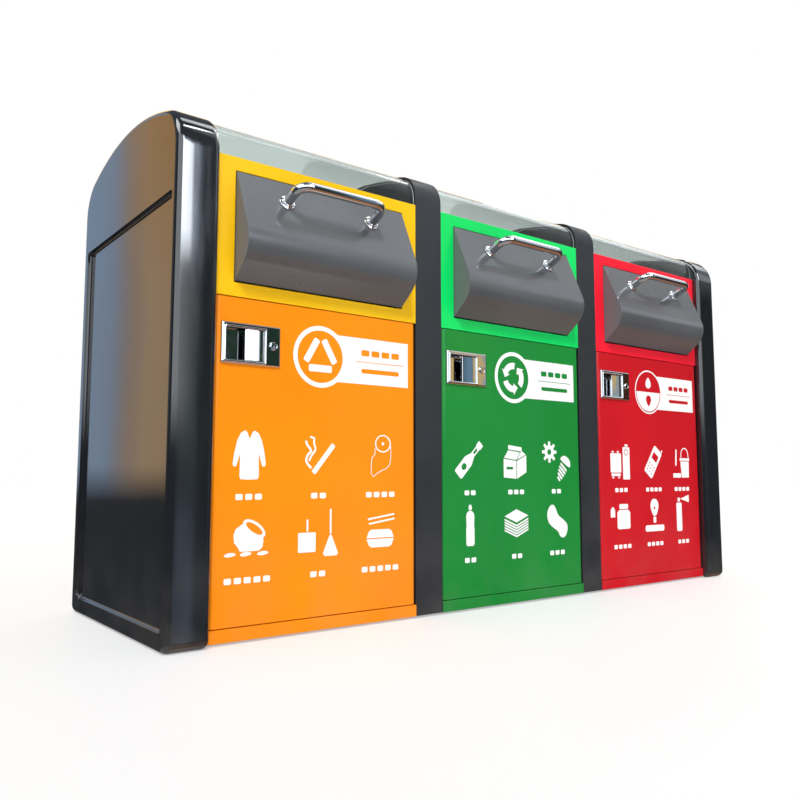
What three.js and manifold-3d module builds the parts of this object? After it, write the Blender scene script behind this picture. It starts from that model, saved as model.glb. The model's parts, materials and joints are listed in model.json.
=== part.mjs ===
// Recycling bin station: three litter compartments side by side between two moulded end shells.
// Millimetres, +Z up, fronts facing -Y. Each compartment has a key-locked door, a tipping hopper with a
// pull handle, a lift-out inner bin and a clear arched roof. Rest pose: everything closed, locks open.
import * as THREE from "three";
import { mergeVertices } from "three/addons/utils/BufferGeometryUtils.js";
import Module from "manifold-3d";

const wasm = await Module();
wasm.setup();

// ---------- driving dimensions ----------
const BAY_W = 600; // clear width of a compartment between its two walls
const DIVIDER_W = 94;
const END_W = 108; // width of an end shell
const BODY_D = 668; // door front to divider rear
const END_PROUD = 24; // an end shell stands out this far, front and rear
const SHEET = 2.5; // folded steel sheet
const WALL = 4; // moulded shell wall
const GAP = 0.3; // between pieces that touch
const DOOR_GAP = 2.5; // round a door

const BODY_Z = 6; // underside of the steelwork
const KICK_TOP = 36.5;
const DOOR_Z = [38.5, 804.5];
const FASCIA_Z = [807, 1148];
const DOOR_D = 34;
const DOOR_EDGE_R = 12; // bullnose on a door's two upright edges; the hinge rod is at its centre

const HOPPER_Z = [841, 1115]; // opening in the fascia
const HOPPER_W = 504;
const HOPPER_UPPER = THREE.MathUtils.degToRad(23.3); // upper face, from upright
const HOPPER_LOWER = THREE.MathUtils.degToRad(51.5); // lower face, from upright
const BELLY_R = 69;
const ROD = { y: 8, z: 860, r: 4 }; // hopper hinge rod
const TRAY_R = 248;

const HANDLE = { span: 254, standoff: 70, r: 12.5, bend: 38, down: 66, rosetteR: 21, rosetteT: 5 };

// Latch, measured from the compartment's left wall and the ground.
const LATCH = { x: [17, 173], z: [645.5, 744.5], proud: 6 };
const POCKET = { x: [30, 129], z: [655, 731], depth: 18, rim: 5 };
const PADDLE = { x: 79, front: -5, t: 3, pinX: 124.4, pinY: -1, pinR: 2, barrelR: 4 };
const LOCK = { x: 153, z: 695, r: 9, crank: 10, pinR: 2.5 };
const BOLT = { x: [3.5, 170], y: [22, 27], z: [679, 694] };

const BIN = { top: [520, 500], bottom: [470, 450], z: [37, 790], y: 310, rim: 12 };
const FOOT = { r: 25, studR: 5, y: [110, 558] };

// Outline of a divider and of an end shell in (Y, Z): upright front and rear, rounded shoulders, a
// shallow arch between them.
const BODY_OUTLINE = {
  front: 0,
  rear: BODY_D,
  bottom: BODY_Z,
  shoulderZ: 1170,
  shoulderR: 82,
  top: 1290,
  footR: 0,
};
const END_OUTLINE = {
  front: -END_PROUD,
  rear: BODY_D + END_PROUD,
  bottom: 0,
  shoulderZ: 1140,
  shoulderR: 108,
  top: 1292,
  footR: 24,
};
const END_EDGE_R = 16; // rounding of an end shell's rims
const RECESS = { y: [0, 654], z: [44, 1033], depth: 11, cornerR: 9, filletR: 5 }; // sunk in the outer face
const ROOF_INSET = 8; // clear roof below the divider's skin
const ROOF_T = 5;
const ARC_STEPS = 4; // half the segments of each small arc
const OUTLINE_STEPS = 7; // half the segments of each arc of the station's own outline

const PITCH = BAY_W + DIVIDER_W;
const HALF = BAY_W / 2;
const HALF_LENGTH = PITCH + HALF + END_W;
const BAYS = [
  { name: "left", fascia: 0xffc40a, door: 0xff8c00 },
  { name: "middle", fascia: 0x00d860, door: 0x1f8a3a },
  { name: "right", fascia: 0xf01432, door: 0xd81422 },
];

const MATERIALS = {
  shell: { color: 0x16181b, roughness: 0.12, metalness: 0 },
  divider: { color: 0x34363a, roughness: 0.35, metalness: 0.1 },
  hopper: { color: 0x55555a, roughness: 0.35, metalness: 0.4 },
  chrome: { color: 0xd8dade, roughness: 0.06, metalness: 1 },
  steel: { color: 0x9a9da0, roughness: 0.4, metalness: 1 },
  galvanised: { color: 0xaab0b3, roughness: 0.5, metalness: 0.8 },
  clear: { color: 0xcfe0dc, roughness: 0.04, metalness: 0, transparent: true, opacity: 0.35 },
  rubber: { color: 0x101010, roughness: 0.8, metalness: 0 },
};

// ---------- geometry helpers ----------
// A closed BufferGeometry as a solid that can be cut and joined.
function solid(geometry) {
  const bare = geometry.index ? geometry.toNonIndexed() : geometry.clone();
  for (const name of Object.keys(bare.attributes)) if (name !== "position") bare.deleteAttribute(name);
  const merged = mergeVertices(bare, 1e-3);
  return new wasm.Manifold(
    new wasm.Mesh({
      numProp: 3,
      vertProperties: merged.attributes.position.array,
      triVerts: new Uint32Array(merged.index.array),
    }),
  );
}

function geometryOf(made) {
  const m = made.getMesh();
  const position = new Float32Array(m.numVert * 3);
  for (let i = 0; i < m.numVert; i++) {
    position.set(m.vertProperties.subarray(i * m.numProp, i * m.numProp + 3), i * 3);
  }
  const geometry = new THREE.BufferGeometry();
  geometry.setAttribute("position", new THREE.BufferAttribute(position, 3));
  geometry.setIndex(new THREE.BufferAttribute(m.triVerts, 1));
  geometry.computeVertexNormals();
  return geometry;
}

function box(x0, x1, y0, y1, z0, z1) {
  const g = new THREE.BoxGeometry(x1 - x0, y1 - y0, z1 - z0);
  return solid(g.translate((x0 + x1) / 2, (y0 + y1) / 2, (z0 + z1) / 2));
}

// The three directions that a shape can be extruded in; each turns shape (x, y, depth) to the part's axes.
const ALONG_X = new THREE.Matrix4().makeBasis(
  new THREE.Vector3(0, 1, 0),
  new THREE.Vector3(0, 0, 1),
  new THREE.Vector3(1, 0, 0),
);
const ALONG_Z = new THREE.Matrix4();

function prism(shape, from, to, along, steps = ARC_STEPS) {
  const options = { depth: to - from, bevelEnabled: false, curveSegments: steps };
  const g = new THREE.ExtrudeGeometry(shape, options);
  return solid(g.translate(0, 0, from).applyMatrix4(along));
}

function cylinder(axis, r, from, to, a, b, sides = 16) {
  const g = new THREE.CylinderGeometry(r, r, to - from, sides).translate(0, (from + to) / 2, 0);
  if (axis === "x") g.rotateZ(-Math.PI / 2).translate(0, a, b);
  if (axis === "y") g.translate(a, 0, b);
  if (axis === "z") g.rotateX(Math.PI / 2).translate(a, b, 0);
  return solid(g);
}

// A closed skin through rings of points that all have the same count; place turns (u, v, at) to a point.
function loft(rings, place) {
  const n = rings[0].points.length;
  const position = [];
  for (const ring of rings) for (const p of ring.points) position.push(...place(p.x, p.y, ring.at));
  const index = [];
  for (let k = 0; k + 1 < rings.length; k++) {
    for (let i = 0; i < n; i++) {
      const a = k * n + i;
      const b = k * n + ((i + 1) % n);
      index.push(a, b, b + n, a, b + n, a + n);
    }
  }
  const cap = THREE.ShapeUtils.triangulateShape(rings[0].points, []);
  const last = (rings.length - 1) * n;
  for (const [a, b, c] of cap) index.push(a, c, b);
  for (const [a, b, c] of THREE.ShapeUtils.triangulateShape(rings.at(-1).points, [])) {
    index.push(last + a, last + b, last + c);
  }
  const g = new THREE.BufferGeometry();
  g.setAttribute("position", new THREE.Float32BufferAttribute(position, 3));
  return solid(g.setIndex(index));
}

// The arched outline o, drawn inset all round, counterclockwise from its front bottom corner.
function archedOutline(o, inset = 0) {
  const middle = (o.front + o.rear) / 2;
  const reach = middle - (o.front + o.shoulderR);
  const rise = o.top - o.shoulderZ;
  const archR = (rise ** 2 + reach ** 2 - o.shoulderR ** 2) / (2 * (rise - o.shoulderR));
  const archZ = o.top - archR;
  const meet = Math.atan2(o.shoulderZ - archZ, reach); // where the rear shoulder meets the arch
  const r = o.shoulderR - inset;
  const shape = new THREE.Shape();
  const footR = Math.max(o.footR - inset, 0);
  const bottom = o.bottom + inset;
  const front = o.front + inset;
  const rear = o.rear - inset;
  shape.moveTo(front + footR, bottom);
  if (footR) shape.absarc(rear - footR, bottom + footR, footR, -Math.PI / 2, 0, false);
  else shape.lineTo(rear, bottom);
  shape.absarc(o.rear - o.shoulderR, o.shoulderZ, r, 0, meet, false);
  shape.absarc(middle, archZ, archR - inset, meet, Math.PI - meet, false);
  shape.absarc(o.front + o.shoulderR, o.shoulderZ, r, Math.PI - meet, Math.PI, false);
  if (footR) shape.absarc(front + footR, bottom + footR, footR, Math.PI, 1.5 * Math.PI, false);
  else shape.lineTo(front, bottom);
  return shape;
}

// Points of a rectangle with rounded corners, counterclockwise.
function roundedRectangle([u0, u1], [v0, v1], r, steps = 3) {
  const corners = [
    [u1 - r, v0 + r, -0.5],
    [u1 - r, v1 - r, 0],
    [u0 + r, v1 - r, 0.5],
    [u0 + r, v0 + r, 1],
  ];
  return corners.flatMap(([u, v, turn]) =>
    Array.from({ length: steps + 1 }, (_, k) => {
      const angle = (turn + (0.5 * k) / steps) * Math.PI;
      return new THREE.Vector2(u + r * Math.cos(angle), v + r * Math.sin(angle));
    }),
  );
}

function rectangle(w, d, cx, cy) {
  return [
    [cx - w / 2, cy - d / 2],
    [cx + w / 2, cy - d / 2],
    [cx + w / 2, cy + d / 2],
    [cx - w / 2, cy + d / 2],
  ].map(([u, v]) => new THREE.Vector2(u, v));
}

function mesh(name, made, material) {
  const m = new THREE.Mesh(geometryOf(made), new THREE.MeshStandardMaterial(material));
  m.name = name;
  return m;
}

// Slot in a compartment's left wall that the thrown lock bolt enters; x runs from the wall's outer side.
const boltSlot = (x0, x1) => box(x0, x1, BOLT.y[0] - 2, BOLT.y[1] + 2, BOLT.z[0] - 3, BOLT.z[1] + 3);

// ---------- fixed structure ----------
// The space of the recess: rounded corners, and a fillet where its walls meet its floor.
function recessCutter() {
  const { y, z, depth, cornerR, filletR } = RECESS;
  const floor = END_W - depth;
  const rings = [];
  for (let k = 0; k <= 3; k++) {
    const turn = ((k / 3) * Math.PI) / 2;
    rings.push({ at: floor + filletR * (1 - Math.cos(turn)), inset: filletR * (1 - Math.sin(turn)) });
  }
  rings.push({ at: END_W + 1, inset: 0 });
  for (const ring of rings) {
    const shrunk = ([low, high]) => [low + ring.inset, high - ring.inset];
    ring.points = roundedRectangle(shrunk(y), shrunk(z), cornerR - ring.inset);
  }
  return loft(rings, (u, v, at) => [at, u, v]);
}

// Moulded end shell, hollow and open below. side is -1 on the left and 1 on the right; its inner face is
// at local x 0 and its outer face at side * END_W.
function endShell(side) {
  const steps = 4;
  const rings = [];
  for (let k = 0; k <= steps; k++) {
    const turn = ((k / steps) * Math.PI) / 2;
    rings.push({ at: END_EDGE_R * (1 - Math.cos(turn)), inset: END_EDGE_R * (1 - Math.sin(turn)) });
  }
  for (const ring of [...rings].reverse()) rings.push({ at: END_W - ring.at, inset: ring.inset });
  for (const ring of rings) {
    ring.points = archedOutline(END_OUTLINE, ring.inset).extractPoints(OUTLINE_STEPS).shape;
  }
  const outer = loft(rings, (y, z, at) => [at, y, z]);
  const cavityShape = archedOutline({ ...END_OUTLINE, bottom: -1, footR: 0 }, END_EDGE_R);
  const cavity = prism(cavityShape, WALL, END_W - RECESS.depth - WALL, ALONG_X);
  const below = box(WALL, END_W - RECESS.depth - WALL, 0, BODY_D, -1, END_EDGE_R);
  let made = outer.subtract(cavity).subtract(below).subtract(recessCutter());
  if (side < 0) made = made.subtract(boltSlot(-1, WALL + 1)).mirror([1, 0, 0]);
  return made;
}

// Hollow steel divider, open below, notched over the base frame; local x 0 is its middle.
function divider() {
  const outer = prism(archedOutline(BODY_OUTLINE), -DIVIDER_W / 2, DIVIDER_W / 2, ALONG_X, OUTLINE_STEPS);
  const inner = prism(
    archedOutline({ ...BODY_OUTLINE, bottom: BODY_Z - 10 }, SHEET),
    SHEET - DIVIDER_W / 2,
    DIVIDER_W / 2 - SHEET,
    ALONG_X,
  );
  const notch = box(-DIVIDER_W, DIVIDER_W, 11, BODY_D - 11, 0, BASE_TOP + GAP);
  const slot = boltSlot(DIVIDER_W / 2 - SHEET - 1, DIVIDER_W / 2 + 1);
  return outer.subtract(inner).subtract(notch).subtract(slot);
}

const BASE_TOP = 34;

// Welded base frame with a floor plate on top, pocketed from below under each compartment.
function baseFrame() {
  const x = HALF_LENGTH - END_W - GAP;
  const plate = BASE_TOP - 3;
  let made = box(-x, x, 12, BODY_D - 12, BODY_Z, BASE_TOP);
  for (const i of [-1, 0, 1]) {
    const c = i * PITCH;
    made = made.subtract(box(c - HALF + 6, c + HALF - 6, 18, BODY_D - 18, 0, plate));
  }
  for (const side of [-1, 1]) {
    const c = (side * PITCH) / 2;
    made = made.subtract(box(c - 39, c + 39, FOOT.y[0] + 32, FOOT.y[1] - 32, 0, plate));
    for (const y of FOOT.y) {
      made = made.subtract(cylinder("z", FOOT.studR + 0.5, 0, 40, (side * PITCH) / 2, y, 12));
    }
  }
  return made;
}

// Levelling foot: a round pad and the stud that screws into the base frame.
const foot = () =>
  cylinder("z", FOOT.r, 0, BODY_Z - GAP, 0, 0, 24).add(cylinder("z", FOOT.studR, 1, 30, 0, 0, 12));

// Folded kick strip below a door, a channel open to the rear.
function kickStrip() {
  const y = [-2, 11.7];
  const outer = box(-HALF + 0.5, HALF - 0.5, ...y, BODY_Z, KICK_TOP);
  const inner = box(-HALF, HALF, y[0] + SHEET, y[1] + 1, BODY_Z + SHEET, KICK_TOP - SHEET);
  return outer.subtract(inner);
}

// Folded tray: a skin with four returns, open on one side. sign is 1 for a tray open to the rear.
function tray(x0, x1, y0, y1, z0, z1, sign) {
  const inner = sign > 0 ? [y0 + SHEET, y1 + 1] : [y0 - 1, y1 - SHEET];
  return box(x0, x1, y0, y1, z0, z1).subtract(
    box(x0 + SHEET, x1 - SHEET, ...inner, z0 + SHEET, z1 - SHEET),
  );
}

// Fixed coloured panel with the hopper opening, sleeved all round, which carries the hopper's rod.
function fascia() {
  const w = HOPPER_W / 2;
  const sleeve = box(-w - SHEET, w + SHEET, 0, 26, HOPPER_Z[0] - SHEET, HOPPER_Z[1] + SHEET);
  return tray(-HALF + GAP, HALF - GAP, 0, 20, ...FASCIA_Z, 1)
    .add(sleeve)
    .subtract(box(-w, w, -1, 30, ...HOPPER_Z))
    .subtract(cylinder("x", ROD.r + GAP, -w - 10, w + 10, ROD.y, ROD.z, 12));
}

const backPanel = () => tray(-HALF + GAP, HALF - GAP, BODY_D - 22, BODY_D - 4, BASE_TOP + 2, 1146, -1);

function topDeck() {
  const z = FASCIA_Z[1] + GAP;
  return box(-HALF + GAP, HALF - GAP, 14, BODY_D - 14, z, z + SHEET);
}

// Clear roof: one bent sheet from the fascia's top, over the arch, to the back panel's top.
function roof() {
  const floor = { ...BODY_OUTLINE, bottom: 0 };
  const x = HALF - GAP;
  return prism(archedOutline(floor, ROOF_INSET), -x, x, ALONG_X, OUTLINE_STEPS)
    .subtract(prism(archedOutline(floor, ROOF_INSET + ROOF_T), -x - 1, x + 1, ALONG_X, OUTLINE_STEPS))
    .subtract(box(-HALF, HALF, -50, BODY_D + 50, -1, FASCIA_Z[1] + GAP));
}

// Lift-out bin: tapered, open at the top, with a rolled rim.
function innerBin() {
  const at = ([w, d], extra, z) => ({ at: z, points: rectangle(w + extra, d + extra, 0, BIN.y) });
  const upright = (u, v, z) => [u, v, z];
  const outer = loft([at(BIN.bottom, 0, BIN.z[0]), at(BIN.top, 0, BIN.z[1])], upright);
  const hollow = [at(BIN.bottom, -2 * SHEET, BIN.z[0] + SHEET), at(BIN.top, -2 * SHEET, BIN.z[1] + 1)];
  const rim = loft([at(BIN.top, BIN.rim, BIN.z[1] - 14), at(BIN.top, BIN.rim, BIN.z[1])], upright);
  return outer.add(rim).subtract(loft(hollow, upright));
}

const doorRod = () => cylinder("z", ROD.r, KICK_TOP + GAP, FASCIA_Z[0] - GAP, 0, 0, 12);

const hopperRod = () => cylinder("x", ROD.r, -HOPPER_W / 2 - 8, HOPPER_W / 2 + 8, ROD.y, ROD.z, 12);

// ---------- door and latch; local x 0 is the compartment's left wall ----------
// Plan of a door in (X, Y), inset all round: bullnose edges and open to the rear at y open.
function doorPlan(inset, open) {
  const left = DOOR_GAP + DOOR_EDGE_R;
  const right = BAY_W - left;
  const r = DOOR_EDGE_R - inset;
  const shape = new THREE.Shape();
  shape.moveTo(left - r, open);
  shape.lineTo(left - r, DOOR_EDGE_R);
  shape.absarc(left, DOOR_EDGE_R, r, Math.PI, 1.5 * Math.PI, false);
  shape.absarc(right, DOOR_EDGE_R, r, 1.5 * Math.PI, 2 * Math.PI, false);
  shape.lineTo(right + r, open);
  return shape;
}

const PIVOT = { x: BAY_W - DOOR_GAP - DOOR_EDGE_R, y: DOOR_EDGE_R }; // door hinge axis

function door() {
  const [z0, z1] = DOOR_Z;
  const slack = 1;
  return prism(doorPlan(0, DOOR_D), z0, z1, ALONG_Z)
    .subtract(prism(doorPlan(SHEET, DOOR_D + 1), z0 + SHEET, z1 - SHEET, ALONG_Z))
    .subtract(cylinder("z", ROD.r + GAP, 0, z1 + 10, PIVOT.x, PIVOT.y, 12))
    .subtract(
      box(
        POCKET.x[0] - SHEET - slack,
        POCKET.x[1] + SHEET + slack,
        -1,
        5,
        POCKET.z[0] - SHEET - slack,
        POCKET.z[1] + SHEET + slack,
      ),
    )
    .subtract(cylinder("y", LOCK.r + 1, -1, 5, LOCK.x, LOCK.z, 16))
    .subtract(box(0, 8, BOLT.y[0] - 1, BOLT.y[1] + 1, BOLT.z[0] - 1, BOLT.z[1] + 1));
}

// Chromed latch plate with a raised rim round the finger pocket, and the fixed pin of its paddle.
function latchHousing() {
  const plate = box(...LATCH.x, -LATCH.proud, -GAP, ...LATCH.z);
  const grow = (d) => [POCKET.x[0] - d, POCKET.x[1] + d];
  const growZ = (d) => [POCKET.z[0] - d, POCKET.z[1] + d];
  const rim = box(...grow(POCKET.rim), -LATCH.proud - 2, -1, ...growZ(POCKET.rim));
  const cup = box(...grow(SHEET), -1, POCKET.depth + SHEET, ...growZ(SHEET));
  const pocket = box(...POCKET.x, -20, POCKET.depth, ...POCKET.z);
  const pin = cylinder("z", PADDLE.pinR, POCKET.z[0] - 1, POCKET.z[1] + 1, PADDLE.pinX, PADDLE.pinY, 12);
  return plate
    .add(rim)
    .add(cup)
    .subtract(pocket)
    .subtract(cylinder("y", LOCK.r + GAP, -20, 5, LOCK.x, LOCK.z, 20))
    .add(pin);
}

// Pull paddle: a flap with a barrel that turns on the latch's pin.
function paddle() {
  const z = [POCKET.z[0] + 1, POCKET.z[1] - 1];
  return box(PADDLE.x, PADDLE.pinX, PADDLE.front, PADDLE.front + PADDLE.t, ...z)
    .add(cylinder("z", PADDLE.barrelR, ...z, PADDLE.pinX, PADDLE.pinY, 16))
    .subtract(cylinder("z", PADDLE.pinR + GAP, 0, 2000, PADDLE.pinX, PADDLE.pinY, 12));
}

// Lock barrel with its key slot and the square tail that carries the crank.
function lockBarrel() {
  const { x, z, r } = LOCK;
  return cylinder("y", r + 1.5, -LATCH.proud - 4, -LATCH.proud - GAP, x, z, 20)
    .add(cylinder("y", r, -LATCH.proud - 1, 12, x, z, 20))
    .add(box(x - 4, x + 4, 11, 19, z - 4, z + 4))
    .subtract(box(x - 1, x + 1, -30, -2, z - 5, z + 5));
}

// Crank on the barrel's tail. Its pin starts down and to the right, and drives the bolt to the left.
function lockCrank() {
  const { x, z, crank, pinR } = LOCK;
  const half = 4 + GAP;
  return box(-8, 8, 13, 17, -crank - 5, 9)
    .add(cylinder("y", pinR, 16, BOLT.y[1] + 2, 0, -crank, 12))
    .rotate([0, -45, 0])
    .subtract(box(-half, half, 12, 18, -half, half))
    .translate([x, 0, z]);
}

function lockBolt() {
  const pinX = LOCK.x + LOCK.crank * Math.SQRT1_2;
  const halfSlot = LOCK.pinR + 0.7;
  return box(...BOLT.x, ...BOLT.y, ...BOLT.z).subtract(
    box(pinX - halfSlot, pinX + halfSlot, 0, 50, BOLT.z[0] + 2.5, BOLT.z[1] - 2.5),
  );
}

// ---------- hopper; local x 0 is the compartment's middle ----------
// Side profile of the hopper's front in (Y, Z), inset all round, open to the rear at y open.
function hopperProfile(inset, open) {
  const top = HOPPER_Z[1] - 2;
  const bottom = HOPPER_Z[0] + 4;
  const slopeUp = Math.tan(HOPPER_UPPER);
  const slopeDown = Math.tan(HOPPER_LOWER);
  // Where the two flat faces would meet, and the belly circle that rounds them off.
  const noseZ = (top * slopeUp + bottom * slopeDown) / (slopeUp + slopeDown);
  const noseY = -(top - noseZ) * slopeUp;
  const half = (Math.PI - HOPPER_UPPER - HOPPER_LOWER) / 2;
  const lean = (HOPPER_LOWER - HOPPER_UPPER) / 2; // of the line from the nose to the belly's centre
  const away = BELLY_R / Math.sin(half);
  const centreY = noseY + away * Math.cos(lean);
  const centreZ = noseZ + away * Math.sin(lean);
  const r = BELLY_R - inset;
  const shape = new THREE.Shape();
  const corner = (face) => (inset * (1 - Math.sin(face))) / Math.cos(face);
  shape.moveTo(open, top - inset);
  shape.lineTo(corner(HOPPER_UPPER), top - inset);
  shape.absarc(centreY, centreZ, r, Math.PI - HOPPER_UPPER, Math.PI + HOPPER_LOWER, false);
  shape.lineTo(corner(HOPPER_LOWER), bottom + inset);
  shape.lineTo(open, bottom + inset);
  return shape;
}

// Folded front of the hopper: two end cheeks, a returned top edge and lugs for the rod.
function hopperFront() {
  const w = HOPPER_W / 2 - 2;
  const lugs = [
    cylinder("x", 12, -w, SHEET - w, ROD.y, ROD.z),
    cylinder("x", 12, w - SHEET, w, ROD.y, ROD.z),
  ];
  let made = prism(hopperProfile(0, SHEET), -w, w, ALONG_X)
    .add(box(-w, w, 0, 14, HOPPER_Z[1] - 2 - SHEET, HOPPER_Z[1] - 2))
    .subtract(prism(hopperProfile(SHEET, 40), -w + SHEET, w - SHEET, ALONG_X));
  for (const lug of lugs) made = made.add(lug);
  return made.subtract(cylinder("x", ROD.r + GAP, -w - 1, w + 1, ROD.y, ROD.z, 12));
}

// Guard inside the hopper: two quadrant cheeks joined by a curved plate that stops a hand reaching in.
function hopperGuard() {
  const w = HOPPER_W / 2 - 2 - SHEET - GAP;
  const quadrant = (r, a0, a1) => {
    const shape = new THREE.Shape();
    shape.moveTo(ROD.y, ROD.z);
    shape.lineTo(ROD.y + r * Math.cos(a0), ROD.z + r * Math.sin(a0));
    shape.absarc(ROD.y, ROD.z, r, a0, a1, false);
    return shape;
  };
  const outer = prism(quadrant(TRAY_R, 0, Math.PI / 2), -w, w, ALONG_X, 6);
  const inner = prism(quadrant(TRAY_R - 2, -0.1, Math.PI / 2 + 0.1), -w + 2, w - 2, ALONG_X, 6);
  const mouth = prism(quadrant(TRAY_R + 20, Math.PI / 4, Math.PI / 2 + 0.1), -w + 2, w - 2, ALONG_X, 6);
  let made = outer.subtract(inner).subtract(mouth);
  for (const side of [-1, 1]) {
    const x = [side * w, side * (w - 2)].sort((a, b) => a - b);
    made = made.add(cylinder("x", 12, ...x, ROD.y, ROD.z));
  }
  return made.subtract(cylinder("x", ROD.r + GAP, -w - 1, w + 1, ROD.y, ROD.z, 12));
}

// Bent tube handle on two rosettes, in its own frame: feet on the plane z 0, bar along x.
function pullHandle() {
  const { span, standoff, r, bend, rosetteR, rosetteT } = HANDLE;
  const x = span / 2;
  const path = new THREE.CurvePath();
  const at = (px, pz) => new THREE.Vector3(px, 0, pz);
  const leftBend = [at(-x, standoff - bend), at(-x, standoff), at(bend - x, standoff)];
  const rightBend = [at(x - bend, standoff), at(x, standoff), at(x, standoff - bend)];
  path.add(new THREE.LineCurve3(at(-x, GAP), leftBend[0]));
  path.add(new THREE.QuadraticBezierCurve3(...leftBend));
  path.add(new THREE.LineCurve3(leftBend[2], rightBend[0]));
  path.add(new THREE.QuadraticBezierCurve3(...rightBend));
  path.add(new THREE.LineCurve3(rightBend[2], at(x, GAP)));
  const section = new THREE.Shape().absarc(0, 0, r, 0, 2 * Math.PI, false);
  const tube = new THREE.ExtrudeGeometry(section, { steps: 30, extrudePath: path, curveSegments: 5 });
  let made = solid(tube);
  if (made.volume() < 0) throw new Error("the handle's section runs the wrong way round");
  for (const side of [-1, 1]) made = made.add(cylinder("z", rosetteR, GAP, rosetteT, side * x, 0, 20));
  return made;
}

// ---------- assembly ----------
function doorGroup(bay) {
  const group = new THREE.Group();
  group.position.x = -HALF;
  group.add(mesh(`door_${bay.name}`, door(), { color: bay.door, roughness: 0.2, metalness: 0 }));
  group.add(mesh(`latch_housing_${bay.name}`, latchHousing(), MATERIALS.chrome));
  group.add(mesh(`latch_paddle_${bay.name}`, paddle(), MATERIALS.chrome));
  group.add(mesh(`lock_barrel_${bay.name}`, lockBarrel(), MATERIALS.chrome));
  group.add(mesh(`lock_crank_${bay.name}`, lockCrank(), MATERIALS.steel));
  group.add(mesh(`lock_bolt_${bay.name}`, lockBolt(), MATERIALS.steel));
  const rod = mesh(`door_hinge_rod_${bay.name}`, doorRod(), MATERIALS.steel);
  rod.position.set(PIVOT.x, PIVOT.y, 0);
  group.add(rod);
  return group;
}

function hopperGroup(bay) {
  const group = new THREE.Group();
  group.add(mesh(`hopper_front_${bay.name}`, hopperFront(), MATERIALS.hopper));
  group.add(mesh(`hopper_guard_${bay.name}`, hopperGuard(), MATERIALS.galvanised));
  group.add(mesh(`hopper_hinge_rod_${bay.name}`, hopperRod(), MATERIALS.steel));
  const handle = mesh(`pull_handle_${bay.name}`, pullHandle(), MATERIALS.chrome);
  // The feet stand on the upper face, HANDLE.down below its top edge.
  const down = HANDLE.down;
  handle.position.set(0, -down * Math.sin(HOPPER_UPPER), HOPPER_Z[1] - 2 - down * Math.cos(HOPPER_UPPER));
  handle.rotation.x = Math.PI / 2 - HOPPER_UPPER;
  group.add(handle);
  return group;
}

function bayGroup(bay, index) {
  const group = new THREE.Group();
  group.position.x = (index - 1) * PITCH;
  group.add(mesh(`kick_strip_${bay.name}`, kickStrip(), { color: bay.door, roughness: 0.2, metalness: 0 }));
  group.add(mesh(`fascia_${bay.name}`, fascia(), { color: bay.fascia, roughness: 0.2, metalness: 0 }));
  group.add(mesh(`back_panel_${bay.name}`, backPanel(), MATERIALS.divider));
  group.add(mesh(`top_deck_${bay.name}`, topDeck(), MATERIALS.galvanised));
  group.add(mesh(`roof_${bay.name}`, roof(), MATERIALS.clear));
  group.add(mesh(`inner_bin_${bay.name}`, innerBin(), MATERIALS.galvanised));
  group.add(doorGroup(bay), hopperGroup(bay));
  return group;
}

const station = new THREE.Group();
// The origin is under the middle of the whole object, from the handles' front to the end shells' rear.
const handleFront =
  -HANDLE.down * Math.sin(HOPPER_UPPER) - HANDLE.standoff * Math.cos(HOPPER_UPPER) - HANDLE.r;
station.position.y = -(handleFront + END_OUTLINE.rear) / 2;

for (const side of [-1, 1]) {
  const name = side < 0 ? "left" : "right";
  const shell = mesh(`end_shell_${name}`, endShell(side), MATERIALS.shell);
  shell.position.x = side * (HALF_LENGTH - END_W);
  const post = mesh(`divider_${name}`, divider(), MATERIALS.divider);
  post.position.x = (side * PITCH) / 2;
  station.add(shell, post);
  for (const [k, end] of ["front", "rear"].entries()) {
    const pad = mesh(`foot_${name}_${end}`, foot(), MATERIALS.rubber);
    pad.position.set((side * PITCH) / 2, FOOT.y[k], 0);
    station.add(pad);
  }
}
station.add(mesh("base_frame", baseFrame(), MATERIALS.galvanised));
BAYS.forEach((bay, index) => station.add(bayGroup(bay, index)));

export default station;
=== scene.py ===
import json
import math

import bmesh
import bpy
from mathutils import Matrix, Vector


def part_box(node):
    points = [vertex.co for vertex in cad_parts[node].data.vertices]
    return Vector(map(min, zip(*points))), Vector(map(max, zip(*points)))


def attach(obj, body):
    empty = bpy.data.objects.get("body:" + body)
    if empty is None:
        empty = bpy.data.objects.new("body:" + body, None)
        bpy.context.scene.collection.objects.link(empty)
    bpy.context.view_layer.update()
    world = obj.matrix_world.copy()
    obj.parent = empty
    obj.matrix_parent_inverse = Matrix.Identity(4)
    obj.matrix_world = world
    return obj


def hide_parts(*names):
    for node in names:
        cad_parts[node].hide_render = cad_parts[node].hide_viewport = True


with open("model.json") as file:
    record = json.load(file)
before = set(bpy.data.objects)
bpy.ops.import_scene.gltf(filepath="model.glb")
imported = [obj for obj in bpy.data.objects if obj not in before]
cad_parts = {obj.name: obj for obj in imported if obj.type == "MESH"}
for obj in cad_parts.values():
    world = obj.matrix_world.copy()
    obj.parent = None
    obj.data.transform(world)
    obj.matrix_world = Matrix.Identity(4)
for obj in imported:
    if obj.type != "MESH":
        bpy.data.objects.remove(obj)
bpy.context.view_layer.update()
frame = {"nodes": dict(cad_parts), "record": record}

# ---------- sizes, in metres ----------
BAYS = ("left", "middle", "right")
BAY_HALF = 0.300
FRONT_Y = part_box("door_left")[0].y  # plane of the doors' faces
BAY_X = {bay: sum(c.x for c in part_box(f"fascia_{bay}")) / 2 for bay in BAYS}

SCENE = bpy.context.scene


def srgb(red, green, blue):
    """A colour given as 0-255 screen values, as the linear values that shaders take."""

    def linear(value):
        value /= 255
        return value / 12.92 if value <= 0.04045 else ((value + 0.055) / 1.055) ** 2.4

    return (linear(red), linear(green), linear(blue))


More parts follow.
